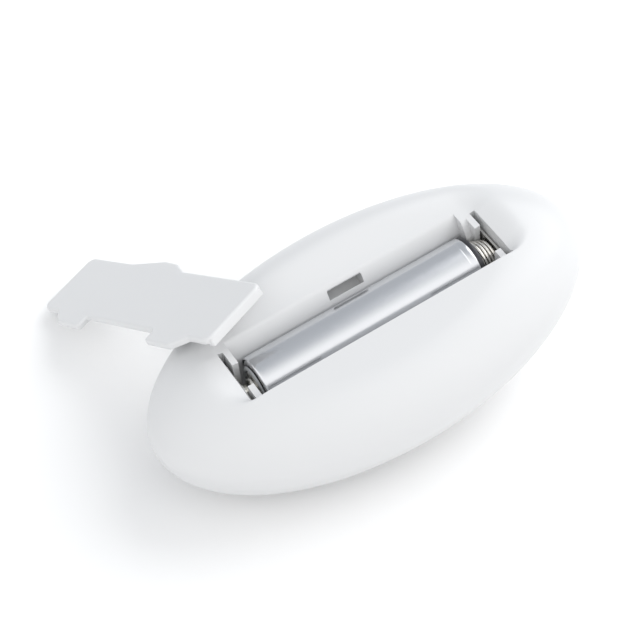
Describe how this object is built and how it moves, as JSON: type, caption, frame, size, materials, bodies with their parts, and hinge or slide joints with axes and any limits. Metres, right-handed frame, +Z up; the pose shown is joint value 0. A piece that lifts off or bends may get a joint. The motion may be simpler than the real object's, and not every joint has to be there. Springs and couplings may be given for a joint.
{
  "type": "bathroom scale display unit",
  "caption": "Oval hand-held wireless display of a digital bathroom scale, lying on its display, battery bay open with one cell fitted and the battery door leaning on its side.",
  "frame": {"origin": "centre of the flat display window, which lies on the table", "axes": "+Z up out of the table, +X along the long axis of the oval housing towards the cell's flat end, +Y towards the side that the door leans on"},
  "size_m": [0.0828, 0.0744, 0.0331],
  "materials": {
    "shell": "white, satin gloss",
    "door": "white, satin",
    "lens": "clear moulded window",
    "mask": "printed black film",
    "lcd": "grey-green liquid crystal glass",
    "reflector": "white film",
    "frame": "white moulding",
    "zebra": "striped elastomer",
    "board": "green solder mask",
    "screw": "zinc plated",
    "chip": "black epoxy or plastic",
    "shield": "tin plated",
    "antenna": "copper wire",
    "button": "grey rubber",
    "contact": "nickel plated",
    "spring": "nickel plated wire",
    "red_lead": "insulated lead",
    "black_lead": "insulated lead",
    "can": "bare steel can",
    "sleeve": "silver printed sleeve",
    "seal": "grey seal",
    "rim": "dark bare rim"
  },
  "bodies": {
    "housing": {"back_shell": "shell", "front_cover": "shell", "display_lens": "lens", "lens_mask": "mask", "lcd_panel": "lcd", "lcd_reflector": "reflector", "lcd_frame": "frame", "zebra_strip_1": "zebra", "zebra_strip_2": "zebra", "circuit_board": "board", "board_screw_1": "screw", "board_screw_2": "screw", "board_screw_3": "screw", "board_screw_4": "screw", "controller_chip": "chip", "radio_shield": "shield", "crystal_can": "shield", "buzzer": "chip", "capacitor_1": "chip", "capacitor_2": "chip", "resistor_1": "chip", "resistor_2": "chip", "resistor_3": "chip", "resistor_4": "chip", "antenna": "antenna", "button_switch_1": "chip", "button_switch_2": "chip", "positive_plate": "contact", "negative_plate": "contact", "negative_spring": "spring", "red_wire": "red_lead", "black_wire": "black_lead"},
    "battery": {"battery_can": "can", "battery_sleeve": "sleeve", "battery_terminal": "can", "battery_seal": "seal", "battery_rim": "rim"},
    "door": {"battery_door": "door"},
    "key_left": {"button_1": "button"},
    "key_right": {"button_2": "button"}
  },
  "joints": [
    {"name": "battery_lift", "type": "slide", "parent": "housing", "child": "battery", "axis": [-0.1352, -0.0889, 0.9868], "range_m": [0, 0.03]},
    {"name": "door_lift", "type": "slide", "parent": "housing", "child": "door", "axis": [0, 0, 1], "range_m": [0, 0.05]},
    {"name": "left_key_press", "type": "slide", "parent": "housing", "child": "key_left", "axis": [0, 0, 1], "range_m": [0, 0.0006], "stiffness_N_per_m": 150, "springref_m": -0.0003},
    {"name": "right_key_press", "type": "slide", "parent": "housing", "child": "key_right", "axis": [0, 0, 1], "range_m": [0, 0.0006], "stiffness_N_per_m": 150, "springref_m": -0.0003}
  ]
}
